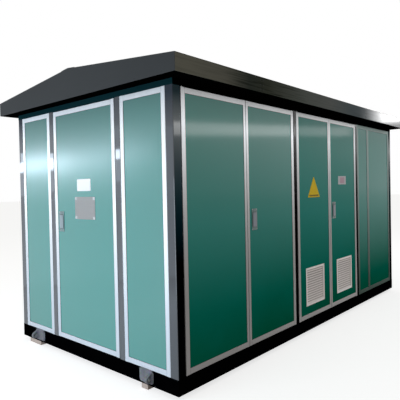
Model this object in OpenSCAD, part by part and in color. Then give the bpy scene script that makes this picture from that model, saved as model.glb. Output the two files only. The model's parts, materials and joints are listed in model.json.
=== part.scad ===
// Compact outdoor substation enclosure: steel base, posts, framed doors and panels, low gable roof.
// Millimetres, +Z up. Origin on the ground, under the middle of the enclosure.
// Front (long side with three bays) faces -Y, the end with the single door faces -X.

/* [Enclosure] */
// Width of the body along Y, over the post faces
body_w = 2120; // [2000:10:2400]
// Height of a door leaf
leaf_h = 2000; // [1800:10:2200]

/* [Base] */
// Height of the support blocks that the base stands on
block_h = 40; // [20:1:80]
// Depth of a support block along X
block_depth = 150; // [100:5:200]
// Width along Y of the block nearer the front
near_block_w = 72; // [60:2:120]
// Width along Y of the block nearer the rear
far_block_w = 200; // [120:5:260]
// Distance of the near block's middle in front of the centre line
near_block_y = 712; // [600:2:800]
// Distance of the far block's middle behind the centre line
far_block_y = 845; // [650:5:880]
// Height of the base channels
base_h = 115; // [100:1:160]
// Width of a base channel's flanges
flange_w = 90; // [85:1:120]
// Thickness of the base channels
channel_t = 8; // [6:0.5:10]
// Width of a cross beam
cross_beam_w = 80; // [60:1:120]
// Number of cross beams under the floor
cross_beam_count = 3; // [2:1:4]
// Thickness of the floor plate
floor_t = 4; // [3:0.5:5]

/* [Posts and rails] */
// Width of a corner post
corner_post_w = 76; // [60:1:90]
// Width of a post between two bays of a long side
side_post_w = 46; // [40:1:70]
// Width of a post beside an end door
end_post_w = 62; // [50:1:80]
// Depth of every post
post_depth = 76; // [60:1:80]
// Wall of posts and top rails
tube_t = 4; // [3:0.5:6]
// Outer corner radius of the posts
post_r = 5; // [3:0.5:12]
// Height of the top rail between the doors and the soffit
top_rail_h = 43; // [36:1:60]
// Depth of the top rail
top_rail_depth = 60; // [50:1:70]

/* [Bays] */
// Opening of the front bay nearest the single-door end
bay_1_w = 1544; // [1400:2:1600]
// Opening of the middle front bay, with the louvred doors
bay_2_w = 1394; // [1200:2:1450]
// Opening of the last front bay, with a narrow and a wide fixed panel
bay_3_w = 1058; // [900:2:1400]
// Width of the narrow panel of the last bay
narrow_panel_w = 325; // [250:5:400]
// Width of the single door leaf in the end
end_leaf_w = 860; // [760:5:920]

/* [Door and panel frames] */
// Width of an outer frame member as seen from outside
member_w = 40; // [30:1:50]
// Width of the member where two leaves meet
meeting_member_w = 28; // [24:1:40]
// Thickness of a leaf or fixed frame
leaf_t = 40; // [38:1:45]
// Thickness of the infill panel
panel_t = 28; // [20:1:30]
// Set-back of the panel behind the frame's outer face
panel_setback = 4; // [2:0.5:6]
// Depth of the groove that holds the panel
groove_depth = 8; // [5:0.5:12]
// Chamfer on the outer edges of a frame member
member_chamfer = 2; // [1:0.5:3]

/* [Door gaps and pivots] */
// Gap between a leaf and the post on either side
side_gap = 7; // [7:0.5:10]
// Gap between two leaves that meet
meeting_gap = 7; // [7:0.5:10]
// Gap under and over a leaf
leaf_end_gap = 5; // [5:0.5:8]
// Distance of the pivot from the leaf's hinge edge
pivot_inset = 15; // [14:0.5:18]
// Depth of the pivot behind the leaf's outer face
pivot_depth = 8; // [8:0.5:9]
// Diameter of a pivot pin
pivot_d = 8; // [6:0.5:9]
// Radial clearance of a pivot pin in its hole
pivot_clearance = 0.3; // [0.2:0.05:0.4]

/* [Handles] */
// Width of a lock plate
plate_w = 76; // [64:1:80]
// Height of a lock plate
plate_h = 178; // [160:1:200]
// Corner radius of a lock plate
plate_r = 10; // [4:1:20]
// Thickness of a lock plate
plate_t = 3; // [2:0.5:4]
// Distance of a lock plate's middle from the leaf's free edge
plate_inset = 98; // [90:1:130]
// Height of a lock plate's middle above the leaf's foot
plate_z = 1031; // [900:1:1150]
// Width of the handle lever
lever_w = 54; // [36:1:58]
// Length of the handle lever
lever_l = 118; // [90:1:120]
// Depth of the lever in front of the plate
lever_t = 5; // [4:0.5:12]
// Diameter of the key cylinder
key_d = 18; // [12:1:20]
// Corner radius of the lever
lever_r = 8; // [4:1:16]
// Diameter of the boss that carries the lever
boss_d = 30; // [20:1:34]
// Margin above the lever on the lock plate
lever_margin = 32; // [30:1:38]
// Margin above the key cylinder on the lock plate
key_margin = 6; // [4:1:8]

/* [Louvres] */
// Width of a louvre over its flange
louvre_w = 390; // [300:5:420]
// Height of a louvre over its flange
louvre_h = 372; // [300:2:420]
// Height of a louvre's lower edge above the leaf's foot
louvre_z = 120; // [80:5:200]
// Width of the flange that lies on the panel
louvre_flange_w = 18; // [12:1:24]
// Thickness of the flange and of the sleeve
louvre_sheet = 2; // [1.5:0.5:3]
// Number of blades
blade_count = 14; // [10:1:18]
// Thickness of a blade
blade_t = 2; // [1.5:0.5:3]
// Depth that a blade reaches into the sleeve
blade_depth = 20; // [14:1:22]
// Set-back of the blades behind the flange's face
blade_setback = 1; // [0.5:0.5:3]
// Open slit between the edges of two blades
blade_slit = 3; // [2:0.5:5]

/* [Roof] */
// Overhang of the roof beyond the long sides
side_overhang = 139; // [100:1:180]
// Overhang of the roof beyond the ends
end_overhang = 118; // [90:1:160]
// Height of the fascia
fascia_h = 122; // [90:1:160]
// Rise of the ridge above the eaves
roof_rise = 120; // [80:2:200]
// Thickness of the roof sheet
roof_sheet = 3; // [2:0.5:4]
// Thickness of the insulated soffit and ceiling panel
soffit_t = 30; // [20:1:50]
// Length of the roof's first sheet from the single-door end
first_sheet_l = 1000; // [800:10:1300]
// Length of the roof's last sheet at the far end
last_sheet_l = 1326; // [800:2:1500]
// Open joint between two lengths of fascia
fascia_joint = 2; // [1:0.5:3]
// Width of a standing seam
seam_w = 36; // [24:1:50]
// Height of a standing seam
seam_h = 10; // [6:1:16]
// Distance of a standing seam's end from the eave
seam_setback = 60; // [20:5:150]
// Width of the ridge cap over both slopes
ridge_cap_w = 180; // [120:10:300]

/* [Lifting lugs] */
// Distance of each doubler plate's middle from the centre line
lug_y = 738; // [600:2:850]
// Width of the doubler plate
doubler_w = 132; // [110:2:160]
// Height of the doubler plate
doubler_h = 94; // [84:1:100]
// Distance of the doubler plate below the top of the base
doubler_drop = 3; // [2:1:10]
// Thickness of the doubler plate
doubler_t = 10; // [6:1:12]
// Radius of the doubler plate's lower corners
doubler_r = 20; // [10:1:36]
// Thickness of the eye plate
eye_t = 24; // [16:1:30]
// Distance of the eye plate from the doubler plate's outer edge
eye_inset = 3; // [2:0.5:10]
// Distance of the eye plate from the doubler plate's top and foot
eye_margin = 5; // [3:1:12]
// Outer radius of the eye
eye_r = 26; // [23:1:30]
// Distance of the eye's middle from the base
eye_reach = 34; // [32:1:45]
// Diameter of the hole in the eye
eye_d = 26; // [20:1:30]

/* [Hidden] */
$fn = 48;

// Clearance where a piece slips into another or lies on it without moving afterwards
seat = 0.3;
// Hairline between the butt-jointed members of a frame
butt = 0.2;
front = 0;
right_end = 1;
rear = 2;
left_end = 3;

// Margin by which a cut runs past the face that it opens
through = 1;

// Length of the body along X: the three bays and the posts round them
body_l = bay_1_w + bay_2_w + bay_3_w + 2 * corner_post_w + 2 * side_post_w;

// Levels, from the ground up
base_z = block_h;
sill_z = base_z + base_h;
leaf_z = sill_z + leaf_end_gap;
opening_h = leaf_h + 2 * leaf_end_gap;
head_z = sill_z + opening_h;
soffit_z = head_z + top_rail_h;
eave_z = soffit_z + fascia_h;
ridge_z = eave_z + roof_rise;

// Roof plan
roof_l = body_l + 2 * end_overhang;
roof_w = body_w + 2 * side_overhang;
slope = roof_rise / (roof_w / 2);
seam_x = [-roof_l / 2 + first_sheet_l, roof_l / 2 - last_sheet_l];

// Openings between the posts of a long side, from the single-door end
bay_1_x = -body_l / 2 + corner_post_w;
bay_2_x = bay_1_x + bay_1_w + side_post_w;
bay_3_x = bay_2_x + bay_2_w + side_post_w;
bays = [[bay_1_x, bay_1_w, bay_1_w / 2], [bay_2_x, bay_2_w, bay_2_w / 2],
    [bay_3_x, bay_3_w, narrow_panel_w]];
leaf_1_w = (bay_1_w - 2 * side_gap - meeting_gap) / 2;
leaf_2_w = (bay_2_w - 2 * side_gap - meeting_gap) / 2;

// Openings of an end, left to right as seen from outside
end_opening_w = end_leaf_w + 2 * side_gap;
end_panel_w = (body_w - 2 * corner_post_w - 2 * end_post_w - end_opening_w) / 2;
end_post_a = corner_post_w + end_panel_w;
end_door_a = end_post_a + end_post_w;
end_post_b = end_door_a + end_opening_w;
end_panel_b = end_post_b + end_post_w;

black = [0.03, 0.03, 0.035];
post_black = [0.09, 0.09, 0.1];
green = [0.12, 0.45, 0.42];
silver = [0.83, 0.84, 0.87];
grey = [0.8, 0.78, 0.79];
roof_grey = [0.2, 0.21, 0.21];

// Places children on one side: X runs left to right as seen from outside, Y runs inwards
module on_side(side) {
    turns = [0, 90, 180, -90];
    half_l = side == front || side == rear ? body_l / 2 : body_w / 2;
    half_w = side == front || side == rear ? body_w / 2 : body_l / 2;
    rotate([0, 0, turns[side]]) translate([-half_l, -half_w, 0]) children();
}

// Extrudes a profile drawn as [inwards, up] along the X of a side
module along(length) {
    rotate([90, 0, 90]) linear_extrude(length) children();
}

// A profile run along a whole side and mitred at both corners
module mitred(side, depth) {
    length = side == front || side == rear ? body_l : body_w;
    on_side(side) intersection() {
        along(length) children();
        linear_extrude(ridge_z) polygon([[0, 0], [length, 0], [length - depth, depth], [depth, depth]]);
    }
}

module channel_section() {
    translate([0, base_z]) difference() {
        square([flange_w, base_h]);
        translate([channel_t, channel_t]) square([flange_w, base_h - 2 * channel_t]);
    }
}

module rail_section() {
    translate([0, head_z]) difference() {
        square([top_rail_depth, top_rail_h]);
        translate([tube_t, tube_t]) square([top_rail_depth - 2 * tube_t, top_rail_h - 2 * tube_t]);
    }
}

// Pivot axes of the leaves, each with the side it stands on and its place along that side
pivots = [
    [front, corner_post_w + side_gap + pivot_inset],
    [front, corner_post_w + bay_1_w - side_gap - pivot_inset],
    [front, bay_2_x + body_l / 2 + side_gap + pivot_inset],
    [front, bay_2_x + body_l / 2 + bay_2_w - side_gap - pivot_inset],
    [left_end, end_door_a + side_gap + end_leaf_w - pivot_inset]];

// Holes for the pivot pins, through the sheet below or above the leaves
module pivot_holes(side, z, length) {
    for (p = pivots) if (p[0] == side)
        on_side(side) translate([p[1], pivot_depth, z])
            cylinder(d = pivot_d + 2 * pivot_clearance, h = length);
}

module base_side_beams() {
    color(black) {
        difference() {
            mitred(front, flange_w) channel_section();
            pivot_holes(front, sill_z - channel_t - through, channel_t + 2 * through);
        }
        mitred(rear, flange_w) channel_section();
    }
}

module base_end_beams() {
    color(black) {
        difference() {
            mitred(left_end, flange_w) channel_section();
            pivot_holes(left_end, sill_z - channel_t - through, channel_t + 2 * through);
        }
        mitred(right_end, flange_w) channel_section();
    }
}

// I-section beams from flange to flange of the side channels
module base_cross_beams() {
    span = body_w - 2 * flange_w;
    pitch = body_l / (cross_beam_count + 1);
    color(black) for (i = [1 : cross_beam_count])
        translate([-body_l / 2 + i * pitch, -span / 2, base_z]) rotate([90, 0, 180])
            linear_extrude(span) difference() {
                translate([-cross_beam_w / 2, 0]) square([cross_beam_w, base_h]);
                for (s = [-1, 1]) translate([s * (cross_beam_w + channel_t) / 2, base_h / 2])
                    square([cross_beam_w, base_h - 2 * channel_t], center = true);
            }
}

module floor_plate() {
    inset = post_depth + seat;
    color(post_black) translate([-body_l / 2 + inset, -body_w / 2 + inset, sill_z])
        cube([body_l - 2 * inset, body_w - 2 * inset, floor_t]);
}

module support_blocks() {
    blocks = [[-near_block_y, near_block_w], [far_block_y, far_block_w]];
    color([0.66, 0.6, 0.53]) for (s = [0, 1], b = blocks) mirror([s, 0, 0])
        translate([-body_l / 2, b[0] - b[1] / 2, 0]) cube([block_depth, b[1], block_h]);
}

// Angle at the eye's middle from the middle of the root's end to where the edge meets the eye
function touch_angle(x, z, r) = atan2(z, x) - acos(r / norm([x, z]));

// Side view of the eye plate, drawn as [outwards, up] from the eye's middle: straight edges run from
// the root on the doubler plate to the round eye
module eye_profile(root_low, root_high) {
    upper = touch_angle(-eye_reach, root_high, eye_r);
    lower = -touch_angle(-eye_reach, -root_low, eye_r);
    polygon([[-eye_reach, root_low], [-eye_reach, root_high], [eye_r * cos(upper), eye_r * sin(upper)],
        [eye_r * cos(lower), eye_r * sin(lower)]]);
    circle(eye_r);
}

// A doubler plate with rounded lower corners, and near its outer edge an eye plate that stands out;
// X runs into the base, Y outwards along it and Z up, from the doubler plate's outer face
module lug() {
    eye_z = base_h / 2;
    foot = base_h - doubler_drop - doubler_h;
    eye_x = doubler_t - eye_reach;
    eye_y = doubler_w / 2 - eye_inset - eye_t;
    difference() {
        union() {
            rotate([90, 0, 90]) linear_extrude(doubler_t) {
                translate([-doubler_w / 2, foot + doubler_r]) square([doubler_w, doubler_h - doubler_r]);
                translate([-doubler_w / 2 + doubler_r, foot]) square([doubler_w - 2 * doubler_r, doubler_r]);
                for (s = [-1, 1]) translate([s * (doubler_w / 2 - doubler_r), foot + doubler_r])
                    circle(doubler_r);
            }
            translate([eye_x, eye_y, eye_z]) rotate([90, 0, 180]) linear_extrude(eye_t)
                eye_profile(foot + eye_margin - eye_z, foot + doubler_h - eye_margin - eye_z);
        }
        translate([eye_x, eye_y - eye_t, eye_z]) rotate([-90, 0, 0]) cylinder(d = eye_d, h = 3 * eye_t);
    }
}

module lifting_lugs() {
    color([0.42, 0.43, 0.45]) for (sx = [0, 1], sy = [0, 1]) mirror([sx, 0, 0]) mirror([0, sy, 0])
        translate([-body_l / 2 - doubler_t, lug_y, base_z]) lug();
}

module rounded_rectangle(w, h, r) {
    translate([r, 0]) square([w - 2 * r, h]);
    translate([0, r]) square([w, h - 2 * r]);
    for (x = [r, w - r], y = [r, h - r]) translate([x, y]) circle(r);
}

// A hollow post standing on the base, with its outer face flush with the body
module post(width) {
    translate([0, 0, sill_z]) linear_extrude(opening_h) difference() {
        rounded_rectangle(width, post_depth, post_r);
        translate([tube_t, tube_t])
            rounded_rectangle(width - 2 * tube_t, post_depth - 2 * tube_t, post_r / 2);
    }
}

module corner_posts() {
    color(post_black) for (sx = [0, 1], sy = [0, 1]) mirror([sx, 0, 0]) mirror([0, sy, 0])
        on_side(front) post(corner_post_w);
}

module side_posts() {
    on_side(front) for (x = [bay_2_x, bay_3_x]) translate([x + body_l / 2 - side_post_w, 0, 0])
        post(side_post_w);
}

module end_posts() {
    on_side(left_end) for (x = [end_post_a, end_post_b]) translate([x, 0, 0]) post(end_post_w);
}

module front_posts() { color(post_black) side_posts(); }
module rear_posts() { color(post_black) mirror([0, 1, 0]) side_posts(); }
module left_end_posts() { color(post_black) end_posts(); }
module right_end_posts() { color(post_black) mirror([1, 0, 0]) end_posts(); }

module top_side_rails() {
    color(post_black) {
        difference() {
            mitred(front, top_rail_depth) rail_section();
            pivot_holes(front, head_z - through, tube_t + 2 * through);
        }
        mitred(rear, top_rail_depth) rail_section();
    }
}

module top_end_rails() {
    color(post_black) {
        difference() {
            mitred(left_end, top_rail_depth) rail_section();
            pivot_holes(left_end, head_z - through, tube_t + 2 * through);
        }
        mitred(right_end, top_rail_depth) rail_section();
    }
}

// Section of a frame member as [across, inwards], with the panel's groove on its inner edge
function member_points(w) = [[0, member_chamfer], [member_chamfer, 0], [w - member_chamfer, 0],
    [w, member_chamfer], [w, panel_setback], [w - groove_depth, panel_setback],
    [w - groove_depth, panel_setback + panel_t], [w, panel_setback + panel_t], [w, leaf_t], [0, leaf_t]];

// The same section turned for a rail, as [inwards, up]
function rail_points(w) = [for (p = member_points(w)) [p[1], p[0]]];

// Four butt-jointed members round a panel: left and right are the widths of the two stiles
module frame_members(w, h, left, right) {
    rail_l = w - left - right - 2 * butt;
    linear_extrude(h) polygon(member_points(left));
    translate([w, 0, 0]) mirror([1, 0, 0]) linear_extrude(h) polygon(member_points(right));
    translate([left + butt, 0, 0]) along(rail_l) polygon(rail_points(member_w));
    translate([left + butt, 0, h]) mirror([0, 0, 1]) along(rail_l) polygon(rail_points(member_w));
}

// The panel that slips into the grooves of such a frame
module infill(w, h, left, right) {
    tuck = groove_depth - seat;
    translate([left - tuck, panel_setback, member_w - tuck])
        cube([w - left - right + 2 * tuck, panel_t, h - 2 * member_w + 2 * tuck]);
}

// A fixed bay of two framed panels that meet at split
module fixed_pair_frames(w, split) {
    frame_members(split - butt, opening_h, member_w, meeting_member_w);
    translate([split + butt, 0, 0])
        frame_members(w - split - butt, opening_h, meeting_member_w, member_w);
}

module fixed_pair_panels(w, split) {
    infill(split - butt, opening_h, member_w, meeting_member_w);
    translate([split + butt, 0, 0]) infill(w - split - butt, opening_h, meeting_member_w, member_w);
}

module at_bay(bay) {
    on_side(front) translate([bay[0] + body_l / 2, 0, sill_z]) children();
}

module bay_3_frames() { color(silver) at_bay(bays[2]) fixed_pair_frames(bay_3_w, narrow_panel_w); }
module bay_3_panels() { color(green) at_bay(bays[2]) fixed_pair_panels(bay_3_w, narrow_panel_w); }

module rear_frames() {
    color(silver) mirror([0, 1, 0]) for (b = bays) at_bay(b) fixed_pair_frames(b[1], b[2]);
}

module rear_panels() {
    color(green) mirror([0, 1, 0]) for (b = bays) at_bay(b) fixed_pair_panels(b[1], b[2]);
}

module end_frames() {
    for (x = [corner_post_w, end_panel_b]) on_side(left_end) translate([x, 0, sill_z])
        frame_members(end_panel_w, opening_h, member_w, member_w);
}

module end_panels() {
    for (x = [corner_post_w, end_panel_b]) on_side(left_end) translate([x, 0, sill_z])
        infill(end_panel_w, opening_h, member_w, member_w);
}

module left_end_frames() { color(silver) end_frames(); }
module left_end_panels() { color(green) end_panels(); }

module right_end_frames() {
    color(silver) mirror([1, 0, 0]) {
        end_frames();
        on_side(left_end) translate([end_door_a, 0, sill_z])
            frame_members(end_opening_w, opening_h, member_w, member_w);
    }
}

module right_end_panels() {
    color(green) mirror([1, 0, 0]) {
        end_panels();
        on_side(left_end) translate([end_door_a, 0, sill_z])
            infill(end_opening_w, opening_h, member_w, member_w);
    }
}

// A door leaf: its free edge carries the narrow member when two leaves meet
module leaf_frame(w, hinge_right, meeting) {
    free_w = meeting ? meeting_member_w : member_w;
    left = hinge_right ? free_w : member_w;
    right = hinge_right ? member_w : free_w;
    pivot_x = hinge_right ? w - pivot_inset : pivot_inset;
    frame_members(w, leaf_h, left, right);
    translate([pivot_x, pivot_depth, -leaf_end_gap - channel_t])
        cylinder(d = pivot_d, h = leaf_end_gap + channel_t);
    translate([pivot_x, pivot_depth, leaf_h]) cylinder(d = pivot_d, h = leaf_end_gap + tube_t);
}

module leaf_panel(w, hinge_right, meeting) {
    free_w = meeting ? meeting_member_w : member_w;
    infill(w, leaf_h, hinge_right ? free_w : member_w, hinge_right ? member_w : free_w);
}

// Lock plate with rounded corners, a key cylinder at its head and a lever on a boss under it
module handle() {
    lever_top = plate_h / 2 - lever_margin;
    translate([0, panel_setback, 0]) rotate([90, 0, 0]) {
        translate([-plate_w / 2, -plate_h / 2, 0]) linear_extrude(plate_t)
            rounded_rectangle(plate_w, plate_h, plate_r);
        translate([0, plate_h / 2 - key_margin - key_d / 2, plate_t]) cylinder(d = key_d, h = lever_t / 2);
        translate([0, lever_top - lever_w / 2, plate_t]) cylinder(d = boss_d, h = lever_t / 2);
        translate([-lever_w / 2, lever_top - lever_l, plate_t + lever_t / 3]) linear_extrude(lever_t * 2 / 3)
            rounded_rectangle(lever_w, lever_l, lever_r);
    }
}

// Opening in a leaf's panel for a louvre's sleeve
module louvre_cut(w) {
    inner_w = louvre_w - 2 * louvre_flange_w;
    inner_h = louvre_h - 2 * louvre_flange_w;
    translate([w / 2 - inner_w / 2, 0, louvre_z + louvre_flange_w]) cube([inner_w, leaf_t, inner_h]);
}

// Flange on the panel's outer face, a sleeve through the panel and sloping blades between its walls
module louvre(w) {
    inner_w = louvre_w - 2 * louvre_flange_w - 2 * seat;
    inner_h = louvre_h - 2 * louvre_flange_w - 2 * seat;
    clear_h = inner_h - 2 * louvre_sheet;
    pitch = clear_h / blade_count;
    outer_y = panel_setback - louvre_sheet;
    translate([w / 2, 0, louvre_z + louvre_h / 2]) {
        difference() {
            union() {
                translate([-louvre_w / 2, outer_y, -louvre_h / 2]) cube([louvre_w, louvre_sheet, louvre_h]);
                translate([-inner_w / 2, outer_y, -inner_h / 2])
                    cube([inner_w, louvre_sheet + panel_t, inner_h]);
            }
            translate([-inner_w / 2 + louvre_sheet, 0, -clear_h / 2])
                cube([inner_w - 2 * louvre_sheet, leaf_t, clear_h]);
        }
        for (i = [0 : blade_count - 1])
            translate([-inner_w / 2 + louvre_sheet / 2, outer_y + blade_setback, -clear_h / 2 + i * pitch])
                along(inner_w - louvre_sheet) polygon([[0, blade_slit / 2], [0, blade_slit / 2 + blade_t],
                    [blade_depth, pitch - blade_slit / 2], [blade_depth, pitch - blade_slit / 2 - blade_t]]);
    }
}

module end_leaf() {
    on_side(left_end) translate([end_door_a + side_gap, 0, leaf_z]) children();
}

module leaf_at(bay_x, offset) {
    on_side(front) translate([bay_x + body_l / 2 + side_gap + offset, 0, leaf_z]) children();
}

leaf_1_b = leaf_1_w + meeting_gap;
leaf_2_b = leaf_2_w + meeting_gap;

module end_door_frame() { color(silver) end_leaf() leaf_frame(end_leaf_w, true, false); }
module end_door_panel() { color(green) end_leaf() leaf_panel(end_leaf_w, true, false); }
module end_door_handle() { color(grey) end_leaf() translate([plate_inset, 0, plate_z]) handle(); }
module bay_1_left_frame() { color(silver) leaf_at(bay_1_x, 0) leaf_frame(leaf_1_w, false, true); }
module bay_1_left_panel() { color(green) leaf_at(bay_1_x, 0) leaf_panel(leaf_1_w, false, true); }
module bay_1_right_frame() { color(silver) leaf_at(bay_1_x, leaf_1_b) leaf_frame(leaf_1_w, true, true); }
module bay_1_right_panel() { color(green) leaf_at(bay_1_x, leaf_1_b) leaf_panel(leaf_1_w, true, true); }
module bay_1_handle() {
    color(grey) leaf_at(bay_1_x, leaf_1_b) translate([plate_inset, 0, plate_z]) handle();
}
module bay_2_left_frame() { color(silver) leaf_at(bay_2_x, 0) leaf_frame(leaf_2_w, false, true); }
module bay_2_left_panel() {
    color(green) leaf_at(bay_2_x, 0) difference() {
        leaf_panel(leaf_2_w, false, true);
        louvre_cut(leaf_2_w);
    }
}
module bay_2_left_louvre() { color(grey) leaf_at(bay_2_x, 0) louvre(leaf_2_w); }
module bay_2_right_frame() { color(silver) leaf_at(bay_2_x, leaf_2_b) leaf_frame(leaf_2_w, true, true); }
module bay_2_right_panel() {
    color(green) leaf_at(bay_2_x, leaf_2_b) difference() {
        leaf_panel(leaf_2_w, true, true);
        louvre_cut(leaf_2_w);
    }
}
module bay_2_right_louvre() { color(grey) leaf_at(bay_2_x, leaf_2_b) louvre(leaf_2_w); }
module bay_2_handle() {
    color(grey) leaf_at(bay_2_x, leaf_2_b) translate([plate_inset, 0, plate_z]) handle();
}

// Flat insulated panel that is the ceiling inside and the soffit under the overhang
module soffit_panel() {
    color(post_black) translate([-roof_l / 2 + roof_sheet, -roof_w / 2 + roof_sheet, soffit_z])
        cube([roof_l - 2 * roof_sheet, roof_w - 2 * roof_sheet, soffit_t]);
}

// One roof slope between the gables, with a standing seam over each joint of its sheets
module roof_slope() {
    cap_y = ridge_cap_w / 2;
    cap_z = ridge_z - slope * cap_y;
    seam_y = -roof_w / 2 + seam_setback;
    seam_z = eave_z + slope * seam_setback;
    color(roof_grey) {
        translate([-roof_l / 2 + roof_sheet, 0, 0]) along(roof_l - 2 * roof_sheet)
            polygon([[-roof_w / 2, eave_z], [0, ridge_z], [0, ridge_z - roof_sheet],
                [-roof_w / 2, eave_z - roof_sheet]]);
        for (x = seam_x) translate([x - seam_w / 2, 0, 0]) along(seam_w)
            polygon([[seam_y, seam_z - roof_sheet], [seam_y, seam_z + seam_h / 2],
                [seam_y + seam_h, seam_z + slope * seam_h + seam_h], [-cap_y, cap_z + seam_h],
                [-cap_y, cap_z - roof_sheet]]);
    }
}

module roof_front_slope() { roof_slope(); }
module roof_rear_slope() { mirror([0, 1, 0]) roof_slope(); }

// Folded cap over the joint of the two slopes
module ridge_cap() {
    half_w = ridge_cap_w / 2;
    low = ridge_z - slope * half_w;
    color(roof_grey) translate([-roof_l / 2, 0, seat]) along(roof_l)
        polygon([[-half_w, low], [0, ridge_z], [half_w, low], [half_w, low + roof_sheet],
            [0, ridge_z + roof_sheet], [-half_w, low + roof_sheet]]);
}

module gable() {
    color(roof_grey) translate([-roof_l / 2, 0, 0]) along(roof_sheet)
        polygon([[-roof_w / 2, soffit_z], [roof_w / 2, soffit_z], [roof_w / 2, eave_z],
            [0, ridge_z], [-roof_w / 2, eave_z]]);
}

module left_gable() { gable(); }
module right_gable() { mirror([1, 0, 0]) gable(); }

// Fascia in three lengths with an open joint under each standing seam
module fascia() {
    ends = [-roof_l / 2 + roof_sheet, seam_x[0], seam_x[1], roof_l / 2 - roof_sheet];
    color(roof_grey) for (i = [0 : 2]) {
        from = ends[i] + (i == 0 ? 0 : fascia_joint / 2);
        to = ends[i + 1] - (i == 2 ? 0 : fascia_joint / 2);
        translate([from, -roof_w / 2, soffit_z]) cube([to - from, roof_sheet, fascia_h - roof_sheet]);
    }
}

module front_fascia() { fascia(); }
module rear_fascia() { mirror([0, 1, 0]) fascia(); }

base_side_beams();
base_end_beams();
base_cross_beams();
floor_plate();
support_blocks();
lifting_lugs();
corner_posts();
front_posts();
rear_posts();
left_end_posts();
right_end_posts();
top_side_rails();
top_end_rails();
bay_3_frames();
bay_3_panels();
left_end_frames();
left_end_panels();
right_end_frames();
right_end_panels();
rear_frames();
rear_panels();
end_door_frame();
end_door_panel();
end_door_handle();
bay_1_left_frame();
bay_1_left_panel();
bay_1_right_frame();
bay_1_right_panel();
bay_1_handle();
bay_2_left_frame();
bay_2_left_panel();
bay_2_left_louvre();
bay_2_right_frame();
bay_2_right_panel();
bay_2_right_louvre();
bay_2_handle();
soffit_panel();
roof_front_slope();
roof_rear_slope();
ridge_cap();
left_gable();
right_gable();
front_fascia();
rear_fascia();
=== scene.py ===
# %% [markdown]
# # A compact substation, dressed
# The enclosure arrives as a fixed frame of solids: base, posts, framed doors, panels and a low roof.
# This lesson gives each solid the finish of the real thing and adds what is too fine for the solids:
# seals, screws, rivets, bare plates, weld beads and sawn timber.
# Everything is in metres, so a size in the text is a size on the object.

# %% Load the frame
import json
import math

import bmesh
import bpy
from mathutils import Matrix, Quaternion, Vector, noise

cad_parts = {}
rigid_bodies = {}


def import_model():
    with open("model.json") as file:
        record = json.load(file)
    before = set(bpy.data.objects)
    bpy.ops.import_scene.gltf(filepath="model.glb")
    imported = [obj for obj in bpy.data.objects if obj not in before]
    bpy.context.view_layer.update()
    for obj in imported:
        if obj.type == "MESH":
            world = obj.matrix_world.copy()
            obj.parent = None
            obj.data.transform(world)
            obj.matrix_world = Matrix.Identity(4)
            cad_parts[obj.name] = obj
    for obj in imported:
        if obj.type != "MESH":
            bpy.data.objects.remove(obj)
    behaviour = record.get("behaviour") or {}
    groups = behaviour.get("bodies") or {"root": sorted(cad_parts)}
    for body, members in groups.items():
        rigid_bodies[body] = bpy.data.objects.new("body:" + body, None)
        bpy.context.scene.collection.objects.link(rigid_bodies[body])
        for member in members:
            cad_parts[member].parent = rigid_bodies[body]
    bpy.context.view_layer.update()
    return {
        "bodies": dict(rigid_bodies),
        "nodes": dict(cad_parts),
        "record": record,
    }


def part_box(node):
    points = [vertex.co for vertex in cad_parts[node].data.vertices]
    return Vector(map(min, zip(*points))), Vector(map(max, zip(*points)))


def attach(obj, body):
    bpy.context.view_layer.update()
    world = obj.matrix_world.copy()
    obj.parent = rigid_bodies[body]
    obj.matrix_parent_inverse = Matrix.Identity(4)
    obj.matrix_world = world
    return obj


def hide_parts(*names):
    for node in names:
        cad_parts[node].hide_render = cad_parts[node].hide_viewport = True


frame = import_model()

# %% [markdown]
# ## The camera
# A photograph of a box holds enough to say where the camera stood: the edges that run away from it
# meet in vanishing points. The numbers below come from such a fit. The camera stands a little above
# the middle of the doors, looks 42 degrees round from the length of the box, and leans slightly.

# %% Place the camera
PHOTO_SIDE = 400
FOCAL_PIXELS = 453.7
AXIS_X, AXIS_Y = 187.5, 195.5
CAMERA_PLACE = Vector((-4.320, -3.188, 1.463))
HEADING, TILT, ROLL = (math.radians(a) for a in (42.42, -0.96, -1.21))
SENSOR = 36.0

forward = Vector((math.cos(TILT) * math.cos(HEADING), math.cos(TILT) * math.sin(HEADING), math.sin(TILT)))
level_right = Vector((math.sin(HEADING), -math.cos(HEADING), 0))
level_up = level_right.cross(forward)
right = math.cos(ROLL) * level_right + math.sin(ROLL) * level_up
up = math.cos(ROLL) * level_up - math.sin(ROLL) * level_right

camera_data = bpy.data.cameras.new("camera")
camera_data.sensor_width = SENSOR
camera_data.lens = SENSOR * FOCAL_PIXELS / PHOTO_SIDE
camera_data.shift_x = (PHOTO_SIDE / 2 - AXIS_X) / PHOTO_SIDE
camera_data.shift_y = (AXIS_Y - PHOTO_SIDE / 2) / PHOTO_SIDE
camera = bpy.data.objects.new("camera", camera_data)
turn = Matrix((right, up, -forward)).transposed()
camera.matrix_world = Matrix.Translation(CAMERA_PLACE) @ turn.to_4x4()
bpy.context.scene.collection.objects.link(camera)
bpy.context.scene.camera = camera
bpy.context.scene.view_settings.view_transform = "Standard"
print("lens", round(camera_data.lens, 2), "mm")

# %% [markdown]
# ## Writing materials as sums
# A procedural material is arithmetic on numbers that vary over the surface. One small class wraps a
# socket and overloads the operators, so that `0.3 + 0.1 * grain` adds the Math nodes by itself.
# A second class stands for one finish: it makes any other node from its type, settings and inputs.

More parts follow.
